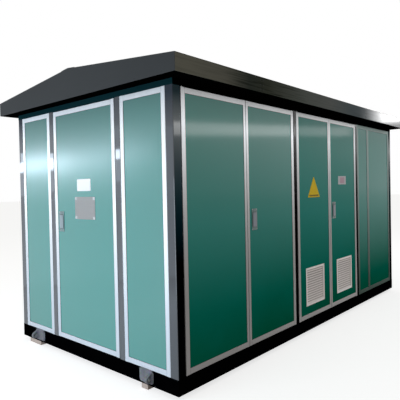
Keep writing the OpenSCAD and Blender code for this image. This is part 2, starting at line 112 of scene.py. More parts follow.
# %% Wrap a socket so that it can be used in sums
class Value:
    def __init__(self, finish, socket):
        self.finish, self.socket = finish, socket

    def __add__(self, other):
        return self.finish.maths("ADD", self, other)

    def __sub__(self, other):
        return self.finish.maths("SUBTRACT", self, other)

    def __rsub__(self, other):
        return self.finish.maths("SUBTRACT", other, self)

    def __mul__(self, other):
        return self.finish.maths("MULTIPLY", self, other)

    def __pow__(self, other):
        return self.finish.maths("POWER", self, other)

    def clipped(self):
        return self.finish.maths("MINIMUM", self.finish.maths("MAXIMUM", self, 0.0), 1.0)

    __radd__ = __add__
    __rmul__ = __mul__


class Finish:
    def __init__(self, name):
        self.material = bpy.data.materials.new(name)
        self.material.use_nodes = True
        self.tree = self.material.node_tree
        self.tree.nodes.clear()
        self.place = self.out(self.node("TexCoord"), "Object")

    def node(self, kind, settings=None, inputs=None):
        made = self.tree.nodes.new("ShaderNode" + kind)
        for name, setting in (settings or {}).items():
            if name == "stops":
                while len(made.color_ramp.elements) < len(setting):
                    made.color_ramp.elements.new(0.5)
                for element, (position, colour) in zip(made.color_ramp.elements, setting):
                    element.position, element.color = position, colour
            else:
                setattr(made, name, setting)
        for name, given in (inputs or {}).items():
            if isinstance(given, Value):
                self.tree.links.new(given.socket, made.inputs[name])
            else:
                made.inputs[name].default_value = given
        return made

    def out(self, made, name):
        return Value(self, made.outputs[name])

    def stretched(self, scale):
        return self.out(self.node("Mapping", {}, {"Vector": self.place, "Scale": scale}), 0)

    def grain(self, size, detail=2.0, stretch=None, rough=0.5):
        """Soft noise from 0 to 1 whose lumps are about size metres across."""
        where = self.stretched(stretch) if stretch else self.place
        return self.out(self.node("TexNoise", {}, {
            "Vector": where, "Scale": 1 / size, "Detail": detail, "Roughness": rough}), 0)

    def over(self, value, low, high):
        """0 under low, 1 over high and straight between."""
        made = self.node("MapRange", {"clamp": True}, {"Value": value, "From Min": low, "From Max": high})
        return self.out(made, 0)

    def across(self, axis):
        """The place along one axis of the object, in metres."""
        return self.out(self.node("SeparateXYZ", {}, {0: self.place}), axis)

    def height(self):
        return self.across(2)

    def maths(self, operation, first, second):
        return self.out(self.node("Math", {"operation": operation}, {0: first, 1: second}), 0)

    def mix(self, factor, first, second):
        made = self.node("Mix", {"data_type": "RGBA"}, {0: factor, 6: first, 7: second})
        return self.out(made, 2)

    def bump(self, value, distance):
        return self.out(self.node("Bump", {}, {"Height": value, "Distance": distance}), 0)

    def surface(self, **inputs):
        named = {name.replace("_", " "): given for name, given in inputs.items()}
        made = self.node("BsdfPrincipled", {}, named)
        self.node("OutputMaterial", {}, {"Surface": self.out(made, 0)})
        return self.material


# %% [markdown]
# ## Painted sheet
# The panels wear a sea-green enamel with a clear gloss over it. Sprayed enamel is never quite flat:
# it has a fine orange peel, its depth of colour drifts a little across a sheet, and the gloss wears
# away towards the foot, where rain splashes and grit reach it. The peel is bump, the drift is a mix
# of two greens, and the clear coat climbs with the height. The eave keeps the sky off the top of each
# sheet, so a fade takes part of the coat off again there.

# %% Mix the paints
LEAF_FOOT, SPLASH_TOP, FOOT_SHADE_TOP = 0.16, 0.45, 1.2
EAVE_SHADE, EAVE_SHADE_SPAN = (1.90, 2.12), (1.65, 2.12)


def rgba(*levels):
    return (*levels, 1.0)


def climbing(finish, low, high, power=1.0, fade=0.0):
    """0 below the height low, 1 above the height high; fade takes some of it off under the eave."""
    shade = finish.over(finish.height(), *EAVE_SHADE)
    return finish.over(finish.height(), low, high) ** power * (1 - fade * shade)


def sheet_paint(name, deep, light, coat, climb=(0.0, 0.1), veil=1.5, gloss=0.30, coat_gloss=0.09,
                foot=None, eave=None, fade=0.0):
    """Enamel with orange peel; coat is the clear gloss at the foot and at the top of its climb."""
    paint = Finish(name)
    drift = paint.grain(0.9, detail=3.0)
    fine = paint.grain(0.05, detail=4.0)
    colour = paint.mix(drift, deep, light)
    # Painted shade: the green darkens towards the foot of each side sheet, for the shade low down on the
    # side.
    if foot:
        foot_shade = 1 - paint.over(paint.height(), LEAF_FOOT, FOOT_SHADE_TOP)
        colour = paint.mix(foot_shade * (0.8 + 0.4 * paint.grain(0.3, 5.0)), colour, foot)
    # Painted shade: the green darkens just under the eave, for the shade that the overhang casts on the
    # top of each end sheet.
    if eave:
        colour = paint.mix(paint.over(paint.height(), *EAVE_SHADE_SPAN) * 0.55, colour, eave)
    spots = paint.over(paint.grain(0.03, 6.0), 0.62, 0.72)
    splash = (1 - paint.over(paint.height(), LEAF_FOOT, SPLASH_TOP)) * spots
    colour = paint.mix(splash * 0.06, colour, rgba(0.10, 0.11, 0.09))
    texture = paint.grain(0.004, detail=1.0) + 0.5 * paint.grain(0.03, detail=2.0)
    low, high = coat
    return paint.surface(
        Base_Color=colour, Roughness=gloss + 0.08 * fine + 0.15 * splash, Specular_IOR_Level=0.0,
        Coat_Weight=low + (high - low) * climbing(paint, *climb, fade=fade), Coat_Roughness=coat_gloss,
        Coat_IOR=veil, Normal=paint.bump(texture, 0.00003))


SIDE_GREEN = (rgba(0.001, 0.290, 0.240), rgba(0.003, 0.325, 0.275))
# The side and the end take two copies of one green, the end's darker: painted light and shade, set
# against the different light on the two faces.
END_GREEN = (rgba(0.001, 0.248, 0.218), rgba(0.003, 0.274, 0.246))
# The foot green is painted shade for the lower part of the side sheets.
FOOT_SHADE_GREEN = rgba(0.0005, 0.140, 0.075)
# The eave green is painted shade under the overhang.
EAVE_SHADE_GREEN = rgba(0.006, 0.085, 0.080)
DOOR_CLIMB = (0.45, 1.85, 1.7)
near_enamel = sheet_paint(
    "near_enamel", *SIDE_GREEN, (0.0, 1.0), DOOR_CLIMB, veil=1.68, foot=FOOT_SHADE_GREEN, fade=0.25)
far_enamel = sheet_paint("far_enamel", *SIDE_GREEN, (0.0, 0.60), DOOR_CLIMB, foot=FOOT_SHADE_GREEN)
filmed_enamel = sheet_paint("filmed_enamel", *SIDE_GREEN, (0.0, 0.75), (0.35, 1.45, 1.3), foot=FOOT_SHADE_GREEN)
end_enamel = sheet_paint(
    "end_enamel", *END_GREEN, (0.0, 1.0), veil=2.0, coat_gloss=0.26, eave=EAVE_SHADE_GREEN, fade=0.3)
BLACK = (rgba(0.0010, 0.0012, 0.0015), rgba(0.002, 0.0022, 0.0025))
# The end posts and the end rails take blue and teal copies of the black: painted reflection tints.
REFLECTION_BLUE_BLACK = (rgba(0.001, 0.016, 0.036), rgba(0.002, 0.020, 0.042))
REFLECTION_TEAL_BLACK = (rgba(0.004, 0.026, 0.032), rgba(0.008, 0.034, 0.040))
post_paint = sheet_paint("post_paint", *BLACK, (0.0, 0.90), (0.9, 1.9, 4.0), fade=0.1)
end_post_paint = sheet_paint(
    "end_post_paint", *REFLECTION_BLUE_BLACK, (0.0, 1.0), veil=2.0, coat_gloss=0.05, fade=0.4)
end_rail_paint = sheet_paint("end_rail_paint", *REFLECTION_TEAL_BLACK, (0.02, 0.02))
GREY = (rgba(0.050, 0.055, 0.058), rgba(0.062, 0.067, 0.070))
roof_paint = sheet_paint("roof_paint", *GREY, (0.20, 0.20), gloss=0.40)
# The soffit and the top side rails under the eave are near black: painted shade.
SHADE_BLACK = (rgba(0.0005, 0.0005, 0.0005), rgba(0.001, 0.001, 0.001))
soffit_paint = sheet_paint("soffit_paint", *SHADE_BLACK, (0.0, 0.0), gloss=0.50)
print("paints:", near_enamel.name, post_paint.name, roof_paint.name, soffit_paint.name)

# %% [markdown]
# A corner post shows one face to the side and one to the end, and each has its own finish: the end
# keeps all its gloss, while the side is dull near the ground. The end face takes the blue-black of the
# end posts, a painted reflection tint, and the side face turns from black to a dark teal above the
# middle of its height, a painted sheen. The post's own place across the length tells the two faces
# apart, so one finish serves both and turns over within the rounded corner.

# %% Paint the corner posts
CORNER_TURN = (2.1155, 2.1195)


def corner_post_finish():
    paint = Finish("corner_post_paint")
    along = paint.across(0)
    on_end = paint.over(paint.maths("ABSOLUTE", along, 0.0), *CORNER_TURN)
    side = climbing(paint, 0.9, 1.9, 4.0, fade=0.9)
    end = climbing(paint, 0.0, 0.1, fade=0.7)
    # Painted sheen: the side face turns dark teal above the middle of its height.
    upper_sheen = paint.over(paint.height(), 0.95, 1.5) * (1 - on_end)
    colour = paint.mix(upper_sheen, rgba(0.0008, 0.0010, 0.0015), rgba(0.001, 0.035, 0.050))
    colour = paint.mix(on_end, colour, REFLECTION_BLUE_BLACK[0])
    fine = paint.grain(0.05, detail=4.0)
    return paint.surface(
        Base_Color=colour, Roughness=0.3 + 0.1 * fine, Specular_IOR_Level=0.0,
        Coat_Weight=side + on_end * (end - side), Coat_Roughness=0.06, Coat_IOR=1.85,
        Normal=paint.bump(paint.grain(0.004), 0.00003))


corner_post_paint = corner_post_finish()
print("corner posts:", corner_post_paint.name)

# %% [markdown]
# The long fascia is folded from two lengths of sheet, and a film of dust and rain streaks has dulled it
# in patches: warm near the corner, almost black at the first joint, grey beyond, and glossy at the far
# end. Towards the far end its colour also grows lighter and bluer, a painted reflection of the bright
# surroundings that the gloss mirrors there at a grazing angle. A colour ramp along the length sets the
# patches and that painted reflection; a stretched noise draws the streaks.

# %% Paint the fascia
FASCIA_HALF = 2.24
FASCIA_PATCHES_AND_REFLECTION = (
    (-2.10, (0.190, 0.185, 0.150)), (-1.72, (0.160, 0.157, 0.130)), (-1.42, (0.048, 0.055, 0.047)),
    (-1.15, (0.060, 0.065, 0.050)), (-0.50, (0.147, 0.160, 0.147)), (0.00, (0.175, 0.186, 0.180)),
    (0.50, (0.130, 0.157, 0.170)), (2.10, (0.200, 0.215, 0.240)))


def fascia_finish():
    paint = Finish("fascia_paint")
    along = paint.across(0)
    stops = [((x + FASCIA_HALF) / (2 * FASCIA_HALF), rgba(*colour)) for x, colour in FASCIA_PATCHES_AND_REFLECTION]
    # The last stops of the ramp, lighter and bluer, are a painted reflection.
    patches = paint.out(paint.node("ValToRGB", {"stops": stops}, {
        0: paint.over(along, -FASCIA_HALF, FASCIA_HALF)}), 0)
    streaks = paint.over(paint.grain(0.012, detail=5.0, stretch=(0.03, 1.0, 1.0)), 0.48, 0.62)
    dull = paint.over(along, -1.75, -1.45) * (1 - paint.over(along, -0.95, -0.5))
    colour = paint.mix(streaks * (0.15 + 0.6 * dull), patches, rgba(0.020, 0.024, 0.018))
    return paint.surface(
        Base_Color=colour, Roughness=0.4 + 0.2 * streaks, Specular_IOR_Level=0.0,
        Coat_Weight=paint.over(along, 0.60, 1.50) ** 2.5, Coat_Roughness=0.12,
        Normal=paint.bump(paint.grain(0.05, detail=3.0), 0.0004))


fascia_paint = fascia_finish()
print("fascia:", fascia_paint.name)

# %% [markdown]
# The base is brushed with a thick, dull black paint straight over rolled steel. Rolling scale shows
# through as a coarse unevenness, grit chips the paint here and there, and it hardly shines.

# %% Paint the base
def base_paint_finish():
    paint = Finish("base_paint")
    scale = paint.grain(0.02, detail=6.0)
    chips = paint.over(paint.grain(0.035, detail=8.0, rough=0.7), 0.70, 0.74)
    dust = paint.over(paint.grain(0.2, detail=5.0), 0.5, 0.9) * 0.25
    colour = paint.mix(dust, rgba(0.0006, 0.0006, 0.0009), rgba(0.004, 0.004, 0.0035))
    chipped = paint.mix(chips, colour, rgba(0.012, 0.008, 0.006))
    return paint.surface(
        Base_Color=chipped, Roughness=0.6 + 0.2 * scale, Specular_IOR_Level=0.0,
        Normal=paint.bump(scale, 0.0006))


base_paint = base_paint_finish()
print("base:", base_paint.name)

# %% [markdown]
# ## Metals
# The frames are satin anodised aluminium. Its fine brush marks come from a noise stretched fifty times
# along the bars. On the side, colour and metal both climb with the height: the darker, duller foot is
# painted shade, and so is the fade under the eave. The end takes its own copy, paler and bluer low
# down: painted light for the lit end. The second bay takes a dimmer copy and the third bay a darker,
# greener one.
# Locks are satin nickel. A lever stands a few millimetres proud of its plate and is rubbed paler by
# hands, so the depth out of the wall tells the two apart. The plate's green tone is a painted reflection
# of the leaf around it. Lugs are steel with the mottle of hot zinc.

# %% Make the metals
def brushed(name, low, high, rough, metallic, climb=(0.0, 0.1), fade=0.0, stretch=(1.0, 1.0, 0.02),
            shine=0.5):
    """A brushed metal that goes from low to high, in colour and in metal, up its climb."""
    metal = Finish(name)
    marks = metal.grain(0.02, detail=6.0, stretch=stretch)
    handled = metal.grain(0.25, detail=4.0)
    bright = climbing(metal, *climb, fade=fade)
    # Painted shade: as the climb falls towards the foot and fades under the eave, the colour darkens to
    # low.
    tone = metal.mix(bright, rgba(*low), rgba(*high))
    marked = metal.mix(0.16 * marks + 0.10 * handled, tone, rgba(0.05, 0.05, 0.05))
    return metal.surface(
        Base_Color=marked, Metallic=metallic[0] + (metallic[1] - metallic[0]) * bright,
        Roughness=rough + 0.06 * marks + 0.06 * handled, Specular_IOR_Level=shine,
        Normal=metal.bump(marks, 0.00003))


FOOT_SHADE_GREY, SHADE_CLIMB = (0.42, 0.395, 0.39), (0.60, 1.92, 1.8)
side_aluminium = brushed(
    "side_aluminium", FOOT_SHADE_GREY, (0.90, 0.93, 0.96), 0.34, (0.10, 0.95), SHADE_CLIMB, fade=0.40)
far_aluminium = brushed(
    "far_aluminium", FOOT_SHADE_GREY, (0.72, 0.75, 0.77), 0.34, (0.10, 0.80), SHADE_CLIMB, fade=0.35)
# The end's copy is paler and bluer low down: painted light for the lit end.
end_aluminium = brushed(
    "end_aluminium", (0.72, 0.78, 0.86), (0.93, 0.95, 0.95), 0.40, (0.35, 0.60), (0.50, 1.30, 1.0),
    fade=0.6)
bay_3_aluminium = brushed(
    "bay_3_aluminium", (0.030, 0.072, 0.052), (0.36, 0.46, 0.44), 0.42, (0.05, 0.30),
    (0.30, 1.5, 1.0), shine=0.05)
PLATE_GREY, STEEL_GREY = (0.36, 0.355, 0.35), (0.62, 0.64, 0.66)
plate_steel = brushed(
    "plate_steel", PLATE_GREY, PLATE_GREY, 0.36, (0.2, 0.2), stretch=(0.05, 0.05, 1.0))
bright_steel = brushed("bright_steel", STEEL_GREY, STEEL_GREY, 0.30, (0.6, 0.6))
END_FACE, SIDE_FACE = -2.116, -1.056
LEVER_STEP = (0.0034, 0.0046)


def lock_finish(name, axis, wall, leaf_reflection_tone, lever_tone):
    """Satin nickel: the plate's tone is a painted reflection of the leaf around it, and the lever, which
    stands proud, is paler.
    """
    metal = Finish(name)
    marks = metal.grain(0.02, detail=6.0, stretch=(1.0, 1.0, 0.05))
    proud = metal.over(metal.across(axis), wall - LEVER_STEP[0], wall - LEVER_STEP[1])
    tone = metal.mix(proud, rgba(*leaf_reflection_tone), rgba(*lever_tone))
    rubbed = metal.mix(0.25 * marks, tone, rgba(0.05, 0.05, 0.05))
    return metal.surface(
        Base_Color=rubbed, Metallic=0.15, Roughness=0.42 - 0.10 * proud,
        Normal=metal.bump(marks, 0.00003))


side_nickel = lock_finish("side_nickel", 1, SIDE_FACE, (0.150, 0.235, 0.225), (0.265, 0.285, 0.335))
end_nickel = lock_finish("end_nickel", 0, END_FACE, (0.210, 0.300, 0.300), (0.330, 0.400, 0.430))


def zinc_finish():
    metal = Finish("lug_zinc")
    spangle = metal.out(metal.node("TexVoronoi", {}, {"Vector": metal.place, "Scale": 140.0}), "Color")
    mottle = metal.grain(0.012, detail=5.0)
    stain = metal.over(metal.grain(0.05, detail=6.0), 0.5, 0.8)
    tone = metal.mix(0.08, rgba(0.135, 0.142, 0.165), spangle)
    worn = metal.mix(stain * 0.6, tone, rgba(0.05, 0.05, 0.055))
    return metal.surface(
        Base_Color=worn, Metallic=0.3, Roughness=0.48 + 0.25 * mottle,
        Normal=metal.bump(mottle, 0.0005))


lug_zinc = zinc_finish()
print("metals:", side_aluminium.name, side_nickel.name, plate_steel.name, lug_zinc.name)

# %% [markdown]
# ## Plastics, timber and the floor
# The louvres are pressed plastic, pale with a breath of pink, and a little chalky from the sun. Where
# their blades run back into the leaf, a brownish painted shade darkens them with the depth.
# The blocks under the base are sawn timber: long grain, dark end rings and saw marks across.
# The floor inside is chequer plate, whose raised tears are a pattern of two slanted waves.

# %% Make the plastics, the timber and the floor plate
RECESS_SHADE_DEPTH, RECESS_SHADE = (-1.0490, -1.0405), rgba(0.15, 0.07, 0.055)


def plastic(name, colour, rough, recess_shade_weight=0.0, coat=0.3, shine=0.5):
    """Moulded plastic; a painted shade darkens the blades where they run back into the leaf."""
    moulded = Finish(name)
    chalk = moulded.grain(0.08, detail=5.0)
    tone = moulded.mix(chalk * 0.3, rgba(*colour), rgba(*(min(1.0, 1.12 * c) for c in colour)))
    if recess_shade_weight:
        # Painted shade in the recesses between the blades.
        tone = moulded.mix(moulded.over(moulded.across(1), *RECESS_SHADE_DEPTH) * recess_shade_weight, tone, RECESS_SHADE)
    return moulded.surface(
        Base_Color=tone, Roughness=rough + 0.15 * chalk, Coat_Weight=coat, Specular_IOR_Level=shine,
        Normal=moulded.bump(moulded.grain(0.002), 0.00003))


louvre_plastic = plastic("louvre_plastic", (0.98, 0.89, 0.86), 0.38, recess_shade_weight=1.0, coat=1.0)
# The black rubber also serves as the painted shade of the lock's keyway and dark lines.
seal_rubber_and_shade = plastic("seal_rubber_and_shade", (0.020, 0.020, 0.022), 0.55)
sign_yellow = plastic("sign_yellow", (1.00, 0.68, 0.01), 0.40, coat=0.0, shine=0.1)
sign_amber = plastic("sign_amber", (0.30, 0.20, 0.01), 0.40, coat=0.0, shine=0.1)
sign_white = plastic("sign_white", (0.97, 0.97, 0.97), 0.25, coat=1.0)
sign_grey = plastic("sign_grey", (0.56, 0.57, 0.60), 0.35, coat=0.0)
sign_pink = plastic("sign_pink", (0.50, 0.30, 0.38), 0.35, coat=0.0)


def timber_finish():
    wood = Finish("block_timber")
    rings = wood.out(wood.node("TexWave", {"wave_type": "RINGS", "rings_direction": "X"}, {
        "Vector": wood.place, "Scale": 26.0, "Distortion": 3.0, "Detail": 3.0}), 1)
    grain = wood.grain(0.015, detail=6.0, stretch=(0.1, 1.0, 1.0))
    grey = wood.grain(0.1, detail=4.0)
    tone = wood.mix(0.6 * grain + 0.25 * rings, rgba(0.74, 0.60, 0.52), rgba(0.44, 0.34, 0.28))
    weathered = wood.mix(grey * 0.4, tone, rgba(0.50, 0.44, 0.40))
    return wood.surface(
        Base_Color=weathered, Roughness=0.8 + 0.1 * grain, Normal=wood.bump(grain + rings, 0.0008))


def chequer_finish():
    plate = Finish("floor_chequer")
    one = plate.out(plate.node("TexWave", {"bands_direction": "DIAGONAL"}, {
        "Vector": plate.place, "Scale": 9.0}), 1)
    other = plate.out(plate.node("TexWave", {"bands_direction": "DIAGONAL"}, {
        "Vector": plate.stretched((-1.0, 1.0, 1.0)), "Scale": 9.0}), 1)
    tears = plate.over(one * other, 0.55, 0.7)
    worn = plate.grain(0.3, detail=5.0)
    tone = plate.mix(tears * worn, rgba(0.05, 0.052, 0.055), rgba(0.28, 0.28, 0.28))
    return plate.surface(
        Base_Color=tone, Metallic=0.6, Roughness=0.5 - 0.15 * tears, Normal=plate.bump(tears, 0.0015))


block_timber = timber_finish()
floor_chequer = chequer_finish()
print("plastics:", louvre_plastic.name, sign_yellow.name, "and", seal_rubber_and_shade.name)

# %% [markdown]
# ## Dress the solids
# A solid whose shape is right keeps its mesh and only gets its finish. The record already groups the
# solids by what they are made of, so one table from those groups to our finishes dresses them all.

# %% Give every solid its finish
FINISH_OF = {
    "base_paint": base_paint, "floor_steel": floor_chequer, "block_wood": block_timber,
    "lug_steel": lug_zinc, "post_paint": post_paint, "frame_aluminium": side_aluminium,
    "panel_green": near_enamel, "handle_chrome": side_nickel, "louvre_plastic": louvre_plastic,
    "soffit_paint": soffit_paint, "roof_paint": roof_paint}

OWN_FINISH = {
    "end_door_panel": end_enamel, "left_end_panels": end_enamel, "right_end_panels": end_enamel,
    "end_door_frame": end_aluminium, "left_end_frames": end_aluminium, "right_end_frames": end_aluminium,
    "bay_2_left_panel": far_enamel, "bay_2_right_panel": far_enamel,
    "bay_2_left_frame": far_aluminium, "bay_2_right_frame": far_aluminium, "end_door_handle": end_nickel,
    "bay_3_panels": filmed_enamel, "bay_3_frames": bay_3_aluminium,
    "left_end_posts": end_post_paint, "right_end_posts": end_post_paint,
    "corner_posts": corner_post_paint, "front_fascia": fascia_paint, "rear_fascia": fascia_paint,
    # The top side rails take the soffit's painted shade, and the top end rails a painted teal reflection.
    "top_side_rails": soffit_paint, "top_end_rails": end_rail_paint}

for part in frame["record"]["subparts"]:
    solid = frame["nodes"][part["node"]]
    solid.data.materials.clear()
    solid.data.materials.append(OWN_FINISH.get(part["node"], FINISH_OF[part["material_slot"]]))
print("dressed", len(frame["nodes"]), "solids")

# %% [markdown]
# ## Small pieces
# What is left is small and repeats: gaskets, screws, rivets, plates and weld beads. Each is drawn flat,
# across, up and out of its wall, and one matrix turns the drawing to face out of any side of the box.
# A pattern mesh is made once and stamped wherever it is needed.

# %% Helpers that make, stamp and finish a piece
UP = Vector((0, 0, 1))
FRONT, REAR = Vector((0, -1, 0)), Vector((0, 1, 0))
LEFT, RIGHT = Vector((-1, 0, 0)), Vector((1, 0, 0))
BODY_OF = {node: body for body, nodes in frame["record"]["behaviour"]["bodies"].items() for node in nodes}


def facing(out, place):
    """Turns a drawing (across, up, out) so that it faces out of a wall, and moves it to a place."""
    turned = Matrix((UP.cross(out), UP, out)).transposed()
    return Matrix.Translation(Vector(place)) @ turned.to_4x4()


def as_pattern(name, shape):
    bmesh.ops.recalc_face_normals(shape, faces=shape.faces)
    mesh = bpy.data.meshes.new(name)
    shape.to_mesh(mesh)
    shape.free()
    return mesh


def stamp(shape, pattern, matrix, material=0):
    """Adds one more copy of a pattern at a place."""
    first_vert, first_face = len(shape.verts), len(shape.faces)
    shape.from_mesh(pattern)
    shape.verts.ensure_lookup_table()
    shape.faces.ensure_lookup_table()
    bmesh.ops.transform(shape, matrix=matrix, verts=shape.verts[first_vert:])
    for face in shape.faces[first_face:]:
        face.material_index = material


def finish_piece(name, shape, body, slot, *finishes):
    """Turns a bmesh into a piece that rides on a body and takes the finishes it is given; slot is not
    used.
    """
    mesh = bpy.data.meshes.new(name)
    shape.to_mesh(mesh)
    shape.free()
    for finish in finishes:
        mesh.materials.append(finish)
    piece = bpy.data.objects.new(name, mesh)
    bpy.context.scene.collection.objects.link(piece)
    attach(piece, body)
    print(name, "has", len(mesh.polygons), "faces")
    return piece


def solids_of(node):
    """The corners of each separate solid in a node, from a copy whose loose triangles are merged."""
    copy = bmesh.new()
    copy.from_mesh(frame["nodes"][node].data)
    bmesh.ops.remove_doubles(copy, verts=copy.verts, dist=0.00001)
    waiting = set(copy.verts)
    corners = []
    while waiting:
        edge_of_it = [waiting.pop()]
        solid = []
        while edge_of_it:
            vert = edge_of_it.pop()
            solid.append(vert.co.copy())
            linked = {edge.other_vert(vert) for edge in vert.link_edges} & waiting
            waiting -= linked
            edge_of_it.extend(linked)
        low = Vector([min(co[axis] for co in solid) for axis in range(3)])
        high = Vector([max(co[axis] for co in solid) for axis in range(3)])
        corners.append((low, high))
    copy.free()
    return sorted(corners, key=lambda pair: tuple(pair[0]))


print(len(solids_of("rear_panels")), "panels on the rear")

# %% [markdown]
# A plate starts as a flat square, whose corners are rounded by a vertex bevel before it is given its
# thickness and its rim is softened. A ring is the same square with its middle cut out by an inset.
# A rivet is a short cone with its crown pushed up; a screw gets a sunk socket in place of the crown.

# %% Draw a plate, a ring, a rivet and a screw
def square(width, height, corner=0.0):
    shape = bmesh.new()
    bmesh.ops.create_grid(shape, x_segments=1, y_segments=1, size=0.5)
    bmesh.ops.scale(shape, vec=(width, height, 1.0), verts=shape.verts)
    if corner:
        bmesh.ops.bevel(
            shape, geom=shape.verts[:], offset=corner, offset_type="OFFSET", affect="VERTICES",
            segments=4, profile=0.5, material=-1)
    return shape


def thicken(shape, thick, edge):
    """Gives a flat drawing its thickness, from the wall outwards, and rounds the outer rim."""
    bmesh.ops.solidify(shape, geom=shape.faces[:], thickness=thick)
    bmesh.ops.translate(shape, vec=(0, 0, -min(v.co.z for v in shape.verts)), verts=shape.verts)
    if edge:
        rim = [e for e in shape.edges if min(v.co.z for v in e.verts) > 0.9 * thick and not e.is_boundary
               and any(abs(f.normal.z) < 0.5 for f in e.link_faces)]
        bmesh.ops.bevel(
            shape, geom=rim, offset=edge, offset_type="OFFSET", affect="EDGES",
            segments=2, profile=0.5, material=-1)
    return shape


def plate(width, height, thick, corner=0.004, edge=0.0004):
    return thicken(square(width, height, corner), thick, edge)


def ring(width, height, wide, high):
    shape = square(width, height)
    rim = bmesh.ops.inset_region(shape, faces=shape.faces[:], thickness=wide, use_boundary=True)["faces"]
    middle = [face for face in shape.faces if face not in rim]
    bmesh.ops.delete(shape, geom=middle, context="FACES")
    return thicken(shape, high, 0.0)


HEAD_SIDES = 12


def head(radius, high, crown):
    """A fastener's head: crown above 0 makes a rivet's dome, and below 0 a screw's socket."""
    shape = bmesh.new()
    bmesh.ops.create_cone(
        shape, cap_ends=True, segments=HEAD_SIDES, radius1=radius, radius2=0.8 * radius, depth=high)
    bmesh.ops.translate(shape, vec=(0, 0, high / 2), verts=shape.verts)
    top = [face for face in shape.faces if face.normal.z > 0.9]
    bmesh.ops.inset_individual(shape, faces=top, thickness=0.35 * radius, depth=max(crown, 0.0) * high)
    if crown < 0:
        top = [face for face in shape.faces if face.normal.z > 0.9 and len(face.verts) == HEAD_SIDES]
        bmesh.ops.inset_individual(shape, faces=top, thickness=0.02 * radius, depth=crown * high)
    return shape


RIVET_R, RIVET_H = 0.0045, 0.0016
SCREW_R, SCREW_H = 0.0040, 0.0018
rivet = as_pattern("rivet_pattern", head(RIVET_R, RIVET_H, 0.5))
screw = as_pattern("screw_pattern", head(SCREW_R, SCREW_H, -0.7))
print("a rivet has", len(rivet.polygons), "faces and a screw", len(screw.polygons))

# %% [markdown]
# ## Gaskets
# Each panel slips into grooves in its frame and is sealed there by a thin black rubber bead, inside and
# outside. The solids give the panels; a ring of rubber runs where each panel meets its four members.

# %% Seal every panel
GROOVE = 0.0077
BEAD_W, BEAD_H = 0.0032, 0.0016


def gaskets(shape, node):
    for low, high in solids_of(node):
        size = high - low
        thin = 0 if size.x < size.y else 1
        out = (LEFT, FRONT)[thin]
        wide = size[1 - thin] - 2 * GROOVE
        bead = as_pattern("bead", ring(wide, size.z - 2 * GROOVE, BEAD_W, BEAD_H))
        for way, face in ((1, low[thin]), (-1, high[thin])):
            place = (low + high) / 2
            place[thin] = face
            stamp(shape, bead, facing(way * out, place))
        bpy.data.meshes.remove(bead)


subparts = frame["record"]["subparts"]
panel_nodes = [part["node"] for part in subparts if part["material_slot"] == "panel_green"]
for body in sorted(frame["bodies"]):
    sealed = [node for node in panel_nodes if BODY_OF[node] == body]
    rubber = bmesh.new()
    for node in sealed:
        gaskets(rubber, node)
    finish_piece(body + "_gaskets", rubber, body, "post_paint", seal_rubber_and_shade)

# %% [markdown]
# ## Lock plates
# A swing-handle lock is held by four countersunk screws, and a keyway is cut in its cylinder. The keyway
# shows as a dark slot, painted shade for the depth of the hole. A thin dark line of painted shade runs
# along the top of the lever, and another parts the foot of the lever from the plate.

# %% Fix the lock plates
LOCKS = (("end_door_handle", LEFT), ("bay_1_handle", FRONT), ("bay_2_handle", FRONT))
LOCK_SCREWS = [(x, z) for x in (-0.0325, 0.0325) for z in (-0.0825, 0.0825)]
LOCK_THICK, CYLINDER_OUT = 0.003, 0.0055
KEY_UP, LEVER_TOP_UP, FOOT_UP = 0.074, 0.060, -0.064
keyway = as_pattern("keyway", plate(0.0022, 0.0095, 0.0004, 0.0008, 0.0))
lever_top_shade = as_pattern("lever_top_shade", plate(0.050, 0.0035, 0.0004, 0.001, 0.0))
lever_foot_shade = as_pattern("lever_foot_shade", plate(0.052, 0.0030, 0.0006, 0.001, 0.0))


def on_lock(node, out, x, z, depth):
    """A place across and up from the middle of a lock, and out from the leaf that it is fixed to."""
    low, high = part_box(node)
    place = (low + high) / 2 + UP.cross(out) * x + UP * z
    thin = 0 if out == LEFT else 1
    place[thin] = high[thin] + out[thin] * depth
    return facing(out, place)


for node, out in LOCKS:
    lock = bmesh.new()
    for x, z in LOCK_SCREWS:
        stamp(lock, screw, on_lock(node, out, x, z, LOCK_THICK))
    # Painted shade: the keyway and the two dark lines at the lever.
    stamp(lock, keyway, on_lock(node, out, 0.0, KEY_UP, CYLINDER_OUT), material=1)
    stamp(lock, lever_top_shade, on_lock(node, out, 0.0, LEVER_TOP_UP, LOCK_THICK), material=1)
    stamp(lock, lever_foot_shade, on_lock(node, out, 0.0, FOOT_UP, LOCK_THICK), material=1)
    finish_piece(node + "_fittings", lock, BODY_OF[node], "handle_chrome", bright_steel, seal_rubber_and_shade)

# %% [markdown]
# ## Plates on the doors
# The single door carries a white plastic plate and, under it, a brushed steel data plate with a raised
# rim and four rivets. Both are left blank here. The left leaf of the second bay has a yellow triangle
# with a darker foot, also without a sign on it, and the right leaf a small grey plate with a plain pink
# patch. The triangle starts as a circle of three segments, and its corners are rounded like a plate's.

# %% Hang the plates
PLATE_THICK, PATCH_THICK, WASHER_THICK = 0.0016, 0.0004, 0.0005

name_w, name_h, name_y, name_z = 0.190, 0.100, -0.009, 1.505
white_plate = bmesh.new()
stamp(white_plate, as_pattern("white", plate(name_w, name_h, PLATE_THICK, 0.008)),
      facing(LEFT, (END_FACE, name_y, name_z)))
finish_piece("end_door_white_plate", white_plate, "end_door", "louvre_plastic", sign_white)

